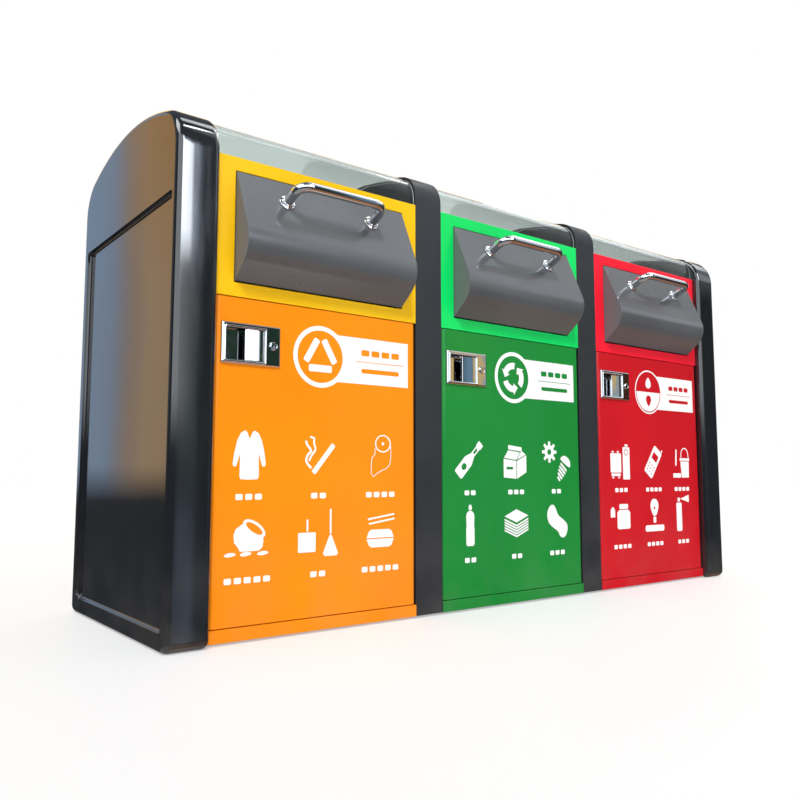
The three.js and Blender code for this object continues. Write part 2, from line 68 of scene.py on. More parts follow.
# ---------- shader graphs ----------
class Graph:
    """Shorthand for adding nodes to one node tree."""

    def __init__(self, tree):
        self.tree = tree

    def feed(self, socket, value):
        """Links another node's output to the socket, or sets a plain value on it."""
        if isinstance(value, bpy.types.NodeSocket):
            self.tree.links.new(value, socket)
        elif socket.type == "RGBA":
            socket.default_value = (*value, 1.0)
        else:
            socket.default_value = value

    def node(self, kind, settings=None, **inputs):
        made = self.tree.nodes.new(kind)
        for key, value in (settings or {}).items():
            setattr(made, key, value)
        for key, value in inputs.items():
            self.feed(made.inputs[key.replace("_", " ")], value)
        return made

    def between(self, value, low, high, to_low=0.0, to_high=1.0):
        """The value scaled from low-high to to_low-to_high, and held at its ends."""
        ends = {"From_Min": low, "From_Max": high, "To_Min": to_low, "To_Max": to_high}
        return self.node("ShaderNodeMapRange", Value=value, **ends).outputs["Result"]

    def math(self, operation, *values):
        made = self.node("ShaderNodeMath", {"operation": operation})
        for socket, value in zip(made.inputs, values):
            self.feed(socket, value)
        return made.outputs[0]

    def band(self, value, low, high, soft):
        """1 while the value is from low to high, falling to 0 over soft on each side."""
        rise = self.between(value, low - soft, low + soft)
        fall = self.between(value, high - soft, high + soft, 1.0, 0.0)
        return self.math("MULTIPLY", rise, fall)

    def blend_colors(self, amount, low, high):
        """The colour low where amount is 0, and high where it is 1."""
        made = self.node("ShaderNodeMix", {"data_type": "RGBA"})
        factor = made.inputs[0]
        colors = [socket for socket in made.inputs if socket.type == "RGBA"]
        for socket, value in zip((factor, *colors), (amount, low, high)):
            self.feed(socket, value)
        return next(socket for socket in made.outputs if socket.type == "RGBA")


class Finish(Graph):
    """A material being built round one Principled shader, in the object's own coordinates."""

    def __init__(self, name, **sockets):
        self.material = bpy.data.materials.new(name)
        self.material.use_nodes = True
        super().__init__(self.material.node_tree)
        self.shader = self.tree.nodes["Principled BSDF"]
        for key, value in sockets.items():
            self.link(value, key)
        self.place = self.tree.nodes.new("ShaderNodeTexCoord").outputs["Object"]

    def link(self, value, key):
        """Links an output to one of the shader's sockets, or sets a plain value on it."""
        self.feed(self.shader.inputs[key.replace("_", " ")], value)

    def noise(self, scale, detail=3.0, stretch=None):
        place = self.place
        if stretch:
            place = self.node("ShaderNodeMapping", Vector=place, Scale=stretch).outputs["Vector"]
        made = self.node("ShaderNodeTexNoise", Vector=place, Scale=scale, Detail=detail)
        return made.outputs["Fac"]

    def height(self):
        return self.node("ShaderNodeSeparateXYZ", Vector=self.place).outputs["Z"]

    def bump(self, *layers):
        """Stacks (height output, depth in metres) layers into one bump."""
        normal = None
        for output, depth in layers:
            made = self.node("ShaderNodeBump", Height=output, Distance=depth)
            if normal is not None:
                self.tree.links.new(normal, made.inputs["Normal"])
            normal = made.outputs["Normal"]
        self.link(normal, "Normal")


# ---------- materials ----------
# Bump depths are in metres, and noise scales are in waves per metre, roughly.
DUST = (0.30, 0.27, 0.23)


def scaled(color, factor):
    return tuple(min(1.0, channel * factor) for channel in color)


def street_dust(finish, color, amount, reach=0.35):
    """The colour with a thin film of dust that thickens towards the ground, from reach metres up."""
    low = finish.between(finish.height(), 0.0, reach, 1.0, 0.0)
    cloud = finish.between(finish.noise(9.0, 6.0), 0.35, 0.75)
    film = finish.math("MULTIPLY", finish.math("MULTIPLY", low, cloud), amount)
    return finish.blend_colors(film, color, DUST)


def gloss_paint(name, color):
    """Smooth powder coat: orange peel, a slow wave in the sheet, faint wipe marks and dust low down."""
    finish = Finish(name, Coat_Weight=0.35, Coat_Roughness=0.05, Coat_IOR=1.5, Specular_IOR_Level=0.2)
    drift = finish.between(finish.noise(3.0, 2.0), 0.3, 0.7)
    tone = finish.blend_colors(drift, scaled(color, 0.93), scaled(color, 1.05))
    finish.link(street_dust(finish, tone, amount=0.1), "Base_Color")
    wipes = finish.noise(14.0, 5.0, stretch=(1.0, 1.0, 0.25))
    finish.link(finish.between(wipes, 0.3, 0.8, 0.28, 0.36), "Roughness")
    finish.bump((finish.noise(5.0, 1.0), 0.0008), (finish.noise(75.0, 1.0), 0.00002))
    return finish.material


def shell_gloss():
    """Near-black gelcoat with a slow wave, hair scratches and dust low down."""
    finish = Finish("shell_gloss_black", Coat_Weight=1.0, Coat_Roughness=0.03, IOR=1.55)
    base = srgb(27, 29, 33)
    cloud = finish.between(finish.noise(2.2, 3.0), 0.3, 0.7)
    tone = finish.blend_colors(cloud, scaled(base, 0.8), scaled(base, 1.25))
    finish.link(street_dust(finish, tone, amount=0.16, reach=0.25), "Base_Color")
    hairs = finish.noise(60.0, 8.0, stretch=(1.0, 1.0, 0.08))
    finish.link(finish.between(hairs, 0.45, 0.75, 0.08, 0.16), "Roughness")
    finish.bump((finish.noise(2.6, 1.0), 0.003), (finish.noise(400.0, 2.0), 0.00003))
    return finish.material


def matte_coat(name, color):
    """Fine-textured powder coat with paler specks."""
    finish = Finish(name, IOR=1.45)
    cloud = finish.between(finish.noise(7.0, 5.0), 0.3, 0.7)
    speck = finish.between(finish.noise(900.0, 2.0), 0.35, 0.65)
    tone = finish.blend_colors(cloud, scaled(color, 0.93), scaled(color, 1.06))
    tone = finish.blend_colors(finish.math("MULTIPLY", speck, 0.25), tone, scaled(color, 1.8))
    finish.link(street_dust(finish, tone, amount=0.14), "Base_Color")
    finish.link(finish.between(cloud, 0.0, 1.0, 0.42, 0.62), "Roughness")
    finish.bump((finish.noise(1800.0, 3.0), 0.00012))
    return finish.material


def hopper_coat():
    """Satin grey coat on folded sheet, with a slow wave across the fold and duller cheeks, whose paler
    colour is painted light on the side faces.
    """
    finish = Finish("hopper_grey", Metallic=0.15, Coat_Roughness=0.03, IOR=1.5)
    color = srgb(93, 95, 98)
    drift = finish.between(finish.noise(4.0, 3.0), 0.3, 0.7)
    tone = finish.blend_colors(drift, scaled(color, 0.88), scaled(color, 1.1))
    normal = finish.tree.nodes.new("ShaderNodeTexCoord").outputs["Normal"]
    sideways = finish.math("ABSOLUTE", finish.node("ShaderNodeSeparateXYZ", Vector=normal).outputs["X"])
    cheek = finish.between(sideways, 0.85, 0.97)
    # painted light: faces turned sideways get a paler copy of the same grey
    finish.link(finish.blend_colors(cheek, tone, scaled(color, 1.7)), "Base_Color")
    finish.link(finish.between(cheek, 0.0, 1.0, 0.65, 0.05), "Coat_Weight")
    clouds = finish.between(finish.noise(11.0, 2.0), 0.2, 0.8, 0.26, 0.34)
    finish.link(finish.math("MAXIMUM", clouds, finish.math("MULTIPLY", cheek, 0.65)), "Roughness")
    wave = finish.noise(6.0, 1.0, stretch=(0.3, 1.0, 1.0))
    finish.bump((wave, 0.0006), (finish.noise(75.0, 1.0), 0.000015))
    return finish.material


def bright_metal(name, color, roughness, brush=None):
    """Polished or brushed metal with finger smudges; brush stretches the grain along its short axis."""
    finish = Finish(name, Metallic=1.0)
    smudge = finish.between(finish.noise(45.0, 3.0), 0.4, 0.72)
    finish.link(finish.blend_colors(smudge, color, scaled(color, 0.96)), "Base_Color")
    finish.link(finish.between(smudge, 0.0, 1.0, roughness, roughness + 0.04), "Roughness")
    layers = [(finish.noise(90.0, 1.0), 0.00001)]
    if brush:
        layers.append((finish.noise(900.0, 2.0, stretch=brush), 0.00005))
    finish.bump(*layers)
    return finish.material


def galvanised():
    """Hot-dip zinc: crystal spangle in tone and gloss."""
    finish = Finish("galvanised_steel", Metallic=0.55)
    color = srgb(176, 182, 186)
    cells = finish.node("ShaderNodeTexVoronoi", Vector=finish.place, Scale=90.0)
    crystal = finish.node("ShaderNodeSeparateColor", Color=cells.outputs["Color"]).outputs["Red"]
    finish.link(finish.blend_colors(crystal, scaled(color, 0.88), scaled(color, 1.08)), "Base_Color")
    finish.link(finish.between(crystal, 0.0, 1.0, 0.3, 0.55), "Roughness")
    finish.bump((cells.outputs["Distance"], 0.00015))
    return finish.material


def clear_sheet():
    """Faintly tinted bent sheet with rain marks that dull its gloss."""
    finish = Finish("roof_clear", Transmission_Weight=1.0, IOR=1.28, Specular_IOR_Level=0.2)
    finish.link((0.735, 0.795, 0.775), "Base_Color")
    marks = finish.between(finish.noise(28.0, 7.0), 0.5, 0.8)
    finish.link(finish.between(marks, 0.0, 1.0, 0.03, 0.16), "Roughness")
    finish.bump((finish.noise(3.0, 1.0), 0.0015))
    return finish.material


def foot_rubber():
    """Black rubber with grey scuffs."""
    finish = Finish("foot_rubber", Roughness=0.8)
    scuffs = finish.between(finish.noise(80.0, 6.0), 0.4, 0.7)
    finish.link(finish.blend_colors(scuffs, srgb(22, 22, 23), srgb(62, 60, 57)), "Base_Color")
    finish.bump((finish.noise(600.0, 3.0), 0.0001))
    return finish.material


def vinyl(name, color):
    """Cut vinyl film: slightly less glossy than the paint under it."""
    finish = Finish(name, IOR=1.45)
    cloud = finish.between(finish.noise(20.0, 4.0), 0.3, 0.7)
    finish.link(finish.blend_colors(cloud, scaled(color, 0.93), color), "Base_Color")
    finish.link(finish.between(cloud, 0.0, 1.0, 0.32, 0.45), "Roughness")
    finish.bump((finish.noise(400.0, 2.0), 0.00003))
    return finish.material


PAINTS = {
    "fascia_paint_left": srgb(255, 196, 8),
    "door_paint_left": srgb(252, 142, 0),
    "fascia_paint_middle": srgb(0, 222, 102),
    "door_paint_middle": srgb(22, 134, 52),
    "fascia_paint_right": srgb(255, 26, 52),
    "door_paint_right": srgb(200, 16, 30),
}

FINISHES = {name: gloss_paint(name, color) for name, color in PAINTS.items()}
FINISHES["shell_gloss_black"] = shell_gloss()
FINISHES["divider_dark_grey"] = matte_coat("divider_dark_grey", srgb(35, 36, 40))
FINISHES["hopper_grey"] = hopper_coat()
FINISHES["chrome"] = bright_metal("chrome", srgb(232, 234, 238), 0.05)
FINISHES["plain_steel"] = bright_metal("plain_steel", srgb(168, 170, 172), 0.28, brush=(0.1, 1.0, 1.0))
FINISHES["galvanised_steel"] = galvanised()
FINISHES["roof_clear"] = clear_sheet()
FINISHES["foot_rubber"] = foot_rubber()
VINYL_WHITE = vinyl("vinyl_white", srgb(250, 250, 248))


# ---------- CAD nodes that stay ----------
# Width of the softened edges in metres, by the first word of the node's name.
EDGE_WIDTH = {
    "divider": 0.003,
    "door": 0.0012,
    "fascia": 0.0008,
    "kick": 0.0012,
    "hopper": 0.003,
    "inner": 0.0008,
}
OTHER_EDGES = 0.0006


def finish_node(name, obj, slot):
    """Gives a CAD node its finish, and softens its hard edges."""
    obj.data.materials.clear()
    obj.data.materials.append(FINISHES[slot])
    weld = obj.modifiers.new("weld", "WELD")
    weld.merge_threshold = 0.00001
    flat = obj.modifiers.new("flat", "DECIMATE")
    flat.decimate_type = "DISSOLVE"
    flat.angle_limit = math.radians(0.5)
    edge = obj.modifiers.new("edge", "BEVEL")
    edge.width = EDGE_WIDTH.get(name.split("_")[0], OTHER_EDGES)
    edge.segments = 2
    edge.limit_method = "ANGLE"
    edge.angle_limit = math.radians(35)
    edge.use_clamp_overlap = True
    normals = obj.modifiers.new("normals", "WEIGHTED_NORMAL")
    normals.keep_sharp = False
    obj.data.shade_smooth()


for subpart in frame["record"]["subparts"]:
    finish_node(subpart["node"], frame["nodes"][subpart["node"]], subpart["material_slot"])


# ---------- mesh helpers ----------
def millimetres(*values):
    return tuple(value * 0.001 for value in values)


def add_piece(name, mesh, finish, body, smooth_angle=40.0):
    """Puts a new mesh in the scene on a CAD body, shaded smooth across all but its sharp edges."""
    piece = bpy.data.objects.new(name, mesh)
    SCENE.collection.objects.link(piece)
    mesh.materials.append(finish)
    mesh.shade_smooth()
    mesh.set_sharp_from_angle(angle=math.radians(smooth_angle))
    normals = piece.modifiers.new("normals", "WEIGHTED_NORMAL")
    normals.keep_sharp = True
    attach(piece, body)
    return piece


def loft_mesh(name, rings):
    """Closed skin through rings of the same number of points, capped at both ends."""
    count = len(rings[0])
    faces = []
    for k in range(len(rings) - 1):
        for i in range(count):
            a, b = k * count + i, k * count + (i + 1) % count
            faces.append((a, b, b + count, a + count))
    faces.append(tuple(reversed(range(count))))
    faces.append(tuple(range((len(rings) - 1) * count, len(rings) * count)))
    mesh = bpy.data.meshes.new(name)
    mesh.from_pydata([tuple(point) for ring in rings for point in ring], [], faces)
    return outward(mesh)


def outward(mesh):
    """Turns every face of a closed mesh to point out of it."""
    edit = bmesh.new()
    edit.from_mesh(mesh)
    bmesh.ops.recalc_face_normals(edit, faces=edit.faces)
    edit.to_mesh(mesh)
    edit.free()
    return mesh


def circle(radius, count=40):
    turns = [math.tau * i / count for i in range(count)]
    return [(radius * math.cos(turn), radius * math.sin(turn)) for turn in turns]


def lathe_mesh(name, profile, place):
    """Turned part: profile is (radius, distance along the axis); place is a Matrix from its own +Z axis."""
    rings = [[place @ Vector((x, y, along)) for x, y in circle(radius)] for radius, along in profile]
    return loft_mesh(name, rings)


def rounded_rect(x0, x1, z0, z1, radius, steps=5):
    """Outline points of a rectangle with rounded corners, counterclockwise."""
    left, right, low, high = x0 + radius, x1 - radius, z0 + radius, z1 - radius
    centres = ((right, low), (right, high), (left, high), (left, low))
    points = []
    for corner, (x, z) in enumerate(centres):
        for k in range(steps + 1):
            angle = (corner - 1 + k / steps) * math.pi / 2
            points.append((x + radius * math.cos(angle), z + radius * math.sin(angle)))
    return points


def join_meshes(name, meshes):
    edit = bmesh.new()
    for mesh in meshes:
        edit.from_mesh(mesh)
        bpy.data.meshes.remove(mesh)
    joined = bpy.data.meshes.new(name)
    edit.to_mesh(joined)
    edit.free()
    return joined


def evaluated_mesh(obj):
    """The object's shape with its modifiers or curve settings applied, as a new mesh."""
    bpy.context.view_layer.update()
    settled = obj.evaluated_get(bpy.context.evaluated_depsgraph_get())
    return bpy.data.meshes.new_from_object(settled)


def cut(mesh, tool_mesh):
    """The mesh with the tool's volume taken away."""
    base = bpy.data.objects.new("cut_base", mesh)
    tool = bpy.data.objects.new("cut_tool", tool_mesh)
    for obj in (base, tool):
        SCENE.collection.objects.link(obj)
    modifier = base.modifiers.new("cut", "BOOLEAN")
    modifier.operation = "DIFFERENCE"
    modifier.solver = "EXACT"
    modifier.object = tool
    made = evaluated_mesh(base)
    for obj in (base, tool):
        bpy.data.objects.remove(obj)
    return made


# ---------- pull handles ----------
HANDLE_SPAN = 0.254  # between the centres of its feet
HANDLE_STANDOFF = 0.070  # from the hopper's face to the centre of the bar
HANDLE_RADIUS = 0.0125
HANDLE_BEND = 0.038
HANDLE_DOWN = 0.066  # from the hopper's top edge to the feet, along its upper face
HOPPER_TOP = 1.113
HOPPER_UPPER = math.radians(23.3)  # the hopper's upper face, from upright
# (radius, height) in millimetres, from the hopper's face up to the tube.
ROSETTE_FOOT = ((20.4, 0.3), (21, 0.9), (21, 2.4), (20.2, 3.4), (18.4, 4.1), (16.4, 4.5))
ROSETTE_COLLAR = ((15.6, 5.2), (15.2, 7.4), (14.2, 8.3), (12.4, 8.6))


def handle_path(steps=12):
    """Centre line of the handle in its own frame: feet on z 0, bar along x."""
    half, top, bend = HANDLE_SPAN / 2, HANDLE_STANDOFF, HANDLE_BEND
    foot = Vector((-half, 0, 0.0003))
    start = Vector((-half, 0, top - bend))
    corner = Vector((-half, 0, top))
    end = Vector((bend - half, 0, top))
    left = [foot, foot.lerp(start, 0.5)]
    for k in range(steps + 1):
        t = k / steps
        left.append(start.lerp(corner, t).lerp(corner.lerp(end, t), t))
    right = [Vector((-p.x, 0, p.z)) for p in reversed(left)]
    return left + right


def tube_rings(path, radius, place, sides=36):
    """Rings round a path that lies in its own x-z plane."""
    rings = []
    across = Vector((0, 1, 0))
    for i, point in enumerate(path):
        along = (path[min(i + 1, len(path) - 1)] - path[max(i - 1, 0)]).normalized()
        up = along.cross(across)
        rings.append([place @ (point + across * x + up * y) for x, y in circle(radius, sides)])
    return rings


def pull_handle(bay):
    """Bent tube on two turned rosettes, each with a collar round the tube."""
    forward = HANDLE_DOWN * math.sin(HOPPER_UPPER)
    down = HANDLE_DOWN * math.cos(HOPPER_UPPER)
    foot = Vector((BAY_X[bay], FRONT_Y - forward, HOPPER_TOP - down))
    place = Matrix.Translation(foot) @ Matrix.Rotation(math.pi / 2 - HOPPER_UPPER, 4, "X")
    meshes = [loft_mesh("tube", tube_rings(handle_path(), HANDLE_RADIUS, place))]
    rosette = [millimetres(*point) for point in ROSETTE_FOOT + ROSETTE_COLLAR]
    for side in (-1, 1):
        at = place @ Matrix.Translation((side * HANDLE_SPAN / 2, 0, 0))
        meshes.append(lathe_mesh("rosette", rosette, at))
    name = f"pull_handle_{bay}"
    mesh = join_meshes(name, meshes)
    piece = add_piece(f"{name}_polished", mesh, FINISHES["chrome"], f"hopper_{bay}")
    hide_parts(name)


# ---------- latches ----------
# In millimetres: x from the bay's left wall, y into the door from its face, z from the ground.
LATCH_X, LATCH_Z = (17, 173), (645.5, 744.5)
POCKET_X, POCKET_Z = (30, 129), (655, 731)
POCKET_FLOOR = 18.0
PLATE_FACE = -6.0
LOCK_X, LOCK_Z, LOCK_RADIUS = 153, 695, 9
LOCK_CLEARANCE = 0.4
KEYWAY_X, KEYWAY_Z = (LOCK_X - 1, LOCK_X + 1), (LOCK_Z - 4, LOCK_Z + 4)
TAIL_X = (LOCK_X - 4, LOCK_X + 4)  # the square tail is as high as the keyway
# (radius, y) of the lock, from its back over the domed collar to the recessed plug.
BARREL_COLLAR = ((8.9, 12), (8.9, -5.6), (10.4, -6.3), (10.5, -8.2), (9.9, -9.4), (8.9, -10))
BARREL_PLUG = ((7.2, -9.9), (6.5, -9.3), (6.3, -8.5), (0.8, -8.5))
# (x, y) of the paddle's section.
PADDLE_LIP = ((79.2, -0.7), (79.0, -1.3), (79.5, -1.9), (80.6, -2.15))
PADDLE_FACE_X = (84, 117)
PADDLE_PIN_X, PADDLE_PIN_Y, PADDLE_PIN_RADIUS = 124.4, -1, 4
PADDLE_BACK = ((120.6, -1.4), (117, -2.4), (101, -1.4), (84, -0.7), (80.4, -0.5))
PADDLE_MIDDLE = (101.5, -2.2)
PADDLE_ENDS = ((656.4, 0.94), (657.0, 1.0), (729.0, 1.0), (729.6, 0.94))  # (z, size of the section)


def latch_point(bay, x, y, z):
    """A point given in millimetres from the bay's left wall, the doors' plane and the ground."""
    return Vector((BAY_X[bay] - BAY_HALF + x * 0.001, FRONT_Y + y * 0.001, z * 0.001))


def latch_ring(bay, x_range, z_range, grow, radius, y):
    """Rounded rectangle at depth y that stands grow outside the ranges."""
    low_x, high_x = x_range[0] - grow, x_range[1] + grow
    points = rounded_rect(low_x, high_x, z_range[0] - grow, z_range[1] + grow, radius)
    return [latch_point(bay, x, y, z) for x, z in points]


def quarter_round(width, height, steps=4):
    """(inward, raised) pairs of a quarter round, from its foot to its crown."""
    turns = [math.pi / 2 * k / steps for k in range(steps + 1)]
    return [(width * (1 - math.cos(turn)), height * math.sin(turn)) for turn in turns]


def axis_along_y(bay, x, z):
    """Frame whose own +Z runs into the door."""
    return Matrix.Translation(latch_point(bay, x, 0, z)) @ Matrix.Rotation(-math.pi / 2, 4, "X")


def latch_housing(bay):
    """Flush latch: bevelled plate, raised frame, deep cup with a filleted floor, and a hole for the lock."""

    def pocket_edge(grow, radius, y):
        return latch_ring(bay, POCKET_X, POCKET_Z, grow, radius, y)

    def plate_edge(grow, radius, y):
        return latch_ring(bay, LATCH_X, LATCH_Z, grow, radius, y)

    rings = [pocket_edge(1.2, 2.5, 20.5), pocket_edge(2.5, 3.5, 19.2), pocket_edge(2.5, 3.5, -0.3)]
    rings.append(plate_edge(0, 3.0, -0.3))
    for inward, raised in quarter_round(4.6, 4.6):
        rings.append(plate_edge(-inward, 3.0 - 0.4 * inward, -1.4 - raised))
    for inward, raised in quarter_round(2.6, 2.0):
        rings.append(pocket_edge(6.0 - inward, 3.4, PLATE_FACE - raised))
    for inward, raised in reversed(quarter_round(2.6, 3.0)):
        rings.append(pocket_edge(0.6 + inward, 2.0, PLATE_FACE + 1.0 - raised))
    rings += [pocket_edge(0, 1.2, -4.8), pocket_edge(0, 1.2, POCKET_FLOOR - 2.5)]
    rings += [pocket_edge(-0.8, 1.0, POCKET_FLOOR - 0.8), pocket_edge(-2.5, 0.8, POCKET_FLOOR)]
    name = f"latch_housing_{bay}"
    bore = LOCK_RADIUS + LOCK_CLEARANCE
    hole = [millimetres(bore, y) for y in (-20, 5)]
    tool = lathe_mesh("hole", hole, axis_along_y(bay, LOCK_X, LOCK_Z))
    mesh = cut(loft_mesh(name, rings), tool)
    piece = add_piece(f"{name}_plate", mesh, FINISHES["chrome"], f"door_{bay}", 25.0)
    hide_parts(name)


def latch_paddle(bay):
    """Pressed paddle: a rolled lip for the fingers, a crowned face and a barrel on its pin."""
    near, far = PADDLE_FACE_X
    face_steps, barrel_steps = 8, 10
    section = list(PADDLE_LIP)
    for k in range(face_steps + 1):
        t = k / face_steps
        crown = 0.15 * math.sin(math.pi * t)
        section.append((near + (far - near) * t, -2.4 - 2.5 * t - crown))
    for k in range(barrel_steps + 1):
        angle = math.radians(-95 + 200 * k / barrel_steps)
        x = PADDLE_PIN_X + PADDLE_PIN_RADIUS * math.cos(angle)
        section.append((x, PADDLE_PIN_Y + PADDLE_PIN_RADIUS * math.sin(angle)))
    section += PADDLE_BACK
    middle_x, middle_y = PADDLE_MIDDLE
    rings = []
    for z, size in PADDLE_ENDS:
        ring = [(middle_x + (x - middle_x) * size, middle_y + (y - middle_y) * size) for x, y in section]
        rings.append([latch_point(bay, x, y, z) for x, y in ring])
    name = f"latch_paddle_{bay}"
    mesh = loft_mesh(name, rings)
    piece = add_piece(f"{name}_pressed", mesh, FINISHES["chrome"], f"paddle_{bay}", 30.0)
    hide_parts(name)


def lock_barrel(bay):
    """Key lock: a domed collar, a recessed plug and its keyway, and the square tail for the crank."""
    profile = [millimetres(*point) for point in BARREL_COLLAR + BARREL_PLUG]
    body = lathe_mesh("barrel", profile, axis_along_y(bay, LOCK_X, LOCK_Z))
    way = [latch_ring(bay, KEYWAY_X, KEYWAY_Z, 0, 0.6, y) for y in (-12, -3)]
    body = cut(body, loft_mesh("keyway", way))
    tail = [latch_ring(bay, TAIL_X, KEYWAY_Z, 0, 0.6, y) for y in (11.9, 19)]
    name = f"lock_barrel_{bay}"
    mesh = join_meshes(name, [body, loft_mesh("tail", tail)])
    piece = add_piece(f"{name}_turned", mesh, FINISHES["chrome"], f"lock_{bay}", 30.0)
    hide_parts(name)


# ---------- flat graphics ----------
# Loops are lists of (x, z) in millimetres; a loop inside another one is a hole in it.
VINYL_THICK = 0.0003
VINYL_GAP = 0.00005  # keeps the film's back off the door's face


def shifted(loops, x, z, turn=0.0):
    """The loops turned by turn degrees and moved so that their origin is at (x, z)."""
    c, s = math.cos(math.radians(turn)), math.sin(math.radians(turn))
    return [[(x + c * u - s * v, z + s * u + c * v) for u, v in loop] for loop in loops]


def disc(x, z, radius, squash=1.0, count=36):
    return [(x + u, z + v * squash) for u, v in circle(radius, count)]


def plate(x0, x1, z0, z1, radius=1.5):
    return rounded_rect(x0, x1, z0, z1, radius, 3)


def bar(x0, z0, x1, z1, width):
    """A straight bar with square ends between two points."""
    length = math.hypot(x1 - x0, z1 - z0)
    turn = math.degrees(math.atan2(z1 - z0, x1 - x0))
    return shifted([plate(0, length, -width / 2, width / 2, min(width, length) * 0.2)], x0, z0, turn)[0]


def mirrored(half):
    """Closed loop from the right half of a symmetric outline, listed from top to bottom."""
    return half + [(-x, z) for x, z in reversed(half) if x]


def cut_corners(ends, next_ends):
    """Two points on each side of a path, a quarter of the way in from either end of the side."""
    return [
        (a[0] + (b[0] - a[0]) * t, a[1] + (b[1] - a[1]) * t)
        for a, b in zip(ends, next_ends)
        for t in (0.25, 0.75)
    ]


def soft(loop, rounds=2):
    """The loop with its corners cut again and again, so that it reads as a curve."""
    for _ in range(rounds):
        loop = cut_corners(loop, loop[1:] + loop[:1])
    return loop


def ribbon(points, width, rounds=2):
    """A line of even width along an open path, softened at its corners."""
    for _ in range(rounds):
        points = [points[0]] + cut_corners(points, points[1:]) + [points[-1]]
    sides = ([], [])
    for i, (x, z) in enumerate(points):
        before, after = points[max(i - 1, 0)], points[min(i + 1, len(points) - 1)]
        dx, dz = after[0] - before[0], after[1] - before[1]
        length = math.hypot(dx, dz) or 1.0
        for side, sign in zip(sides, (1, -1)):
            side.append((x - sign * dz / length * width / 2, z + sign * dx / length * width / 2))
    return sides[0] + sides[1][::-1]


def coat():
    collar = [(0, 38), (7, 54), (12, 58), (23, 52)]
    sleeve = [(32, 34), (39, 6), (43, -22), (40, -27), (34, -27), (31, -18)]
    skirt = [(24, 4), (25, -50), (22, -57), (0, -58)]
    return [mirrored(collar + sleeve + skirt)]


def cigarette():
    smoke_low = ribbon([(-22, -30), (-38, -14), (-34, 2), (-20, 14), (-34, 26), (-38, 38)], 6)
    smoke_high = ribbon([(-28, -12), (-22, 2), (-8, 16), (-16, 34), (-12, 44), (-26, 48)], 5)
    return [bar(-16, -42, 44, 30, 13), smoke_low, smoke_high]


def paper_roll():
    left = [(-18, 24), (-18, 6), (-30, -2), (-30, -56)]
    right = [(-4, -38), (24, -28), (34, -12), (34, 30)]
    sheet = ribbon(left + right, 1.8, 1)
    return [disc(8, 36, 26, 0.9), disc(8, 36, 22.5, 0.9), disc(8, 36, 4), sheet]


def broken_pot():
    rim, mouth = shifted([disc(0, 0, 33, 0.46), disc(0, 0, 25, 0.36)], 16, 18, -33)
    lip = [rim[k] for k in range(-2, 21)]
    left = [(-20, 26), (-32, 18), (-37, 4), (-35, -14), (-27, -22), (-20, -34)]
    right = [(28, -34), (38, -26), (40, -12)]
    shard = soft([(0, -36), (18, -35), (26, -41), (6, -46), (-8, -43)], 1)
    shards = [shifted([shard], x, 0)[0] for x in (-54, -14, 30)]
    return [lip + left + right, mouth] + shards


def dustpan_and_broom():
    pan = [plate(-57, -7, -46, 2, 3), bar(-31, 5, -31, 34, 5)]
    brush = [(34, -6), (39, -6), (59, -52), (54, -58), (20, -58), (14, -52)]
    return pan + [bar(36.5, -3, 36.5, 58, 5), brush]


def food_box():
    lid = [(-44, 1.5), (-37, 18), (-29, 23), (29, 23), (37, 18), (44, 1.5)]
    tray = [(x, -z) for x, z in lid]
    sticks = [bar(-40, 50, 46, 62, 4.5), bar(-37, 38, 47, 50, 4.5)]
    return shifted([lid, tray] + sticks, 0, -22)


def glass_bottle():
    body = [(0, -66), (15, -66), (18, -62), (18, -8)]
    neck = [(8, 16), (8, 46), (11, 48), (11, 64), (0, 65)]
    outline = mirrored(body + neck)
    return shifted([outline, disc(0, -32, 9, 1.2), plate(-4, 4, 22, 40)], 0, 0, -45)


def milk_carton():
    front = [(-52, -54), (2, -58), (2, -4), (-52, 2)]
    side = [(5, -58), (46, -38), (46, 14), (5, -4)]
    slope = [(-50, 5), (2, -1), (18, 22), (-32, 28)]
    flank = [(6, 0), (44, 16), (28, 26), (21, 22)]
    crest = [(-32, 31), (26, 25), (26, 38), (-32, 44)]
    return [front, side, slope, flank, crest, plate(-40, -12, -30, -22)]


def gear_and_screw():
    gear = []
    for k in range(8):
        for offset, radius in ((-14, 22), (-8, 34), (8, 34), (14, 22)):
            angle = math.radians(k * 45 + offset)
            gear.append((-30 + radius * math.cos(angle), 26 + radius * math.sin(angle)))
    head = soft([(-26, 30), (-14, 44), (14, 44), (26, 30), (26, 20), (-26, 20)], 1)
    sizes = ((36, 11), (36, 0), (32, -11), (26, -22), (16, -33))
    turns = [bar(-width / 2, z, width / 2, z - 6, 7) for width, z in sizes]
    return [gear, disc(-30, 26, 9)] + shifted([head] + turns, 32, -28, -32)


def plastic_bottle():
    cap = mirrored([(0, 58), (4, 57), (6, 52), (6, 46), (4, 42), (0, 42)])
    shoulder = [(0, 40), (6, 40), (14, 33), (16, 24)]
    waist = [(14.5, 0), (16, -14), (16, -54), (12, -60), (0, -60)]
    return [cap, mirrored(shoulder + waist)]


def paper_stack():
    top = [(0, 40), (51, 20), (0, 0), (-51, 20)]
    sheets = []
    for z in range(13, -20, -8):
        upper = [(-51, z), (0, z - 20), (51, z)]
        sheets.append(upper + [(x, low - 5) for x, low in reversed(upper)])
    return [top] + sheets


def crushed_can():
    top = [(-46, 14), (-42, 36), (-24, 52), (-8, 46), (4, 18)]
    low = [(16, 10), (40, -4), (52, -18), (46, -44), (32, -56), (14, -52), (6, -34), (-14, -24), (-38, -8)]
    return [soft(top + low)]


def batteries():
    square = [plate(-56, 2, -38, 28, 3), plate(-48, -38, 30, 36)]
    square += [plate(-20, -10, 30, 36), plate(-52, -2, -50, -41)]
    feet = [plate(-48, -38, -58, -52), plate(-16, -6, -58, -52)]
    slim = [plate(12, 50, -62, 50, 3), plate(24, 40, 52, 60), disc(31, 32, 11), disc(31, 32, 8)]
    return square + feet + slim


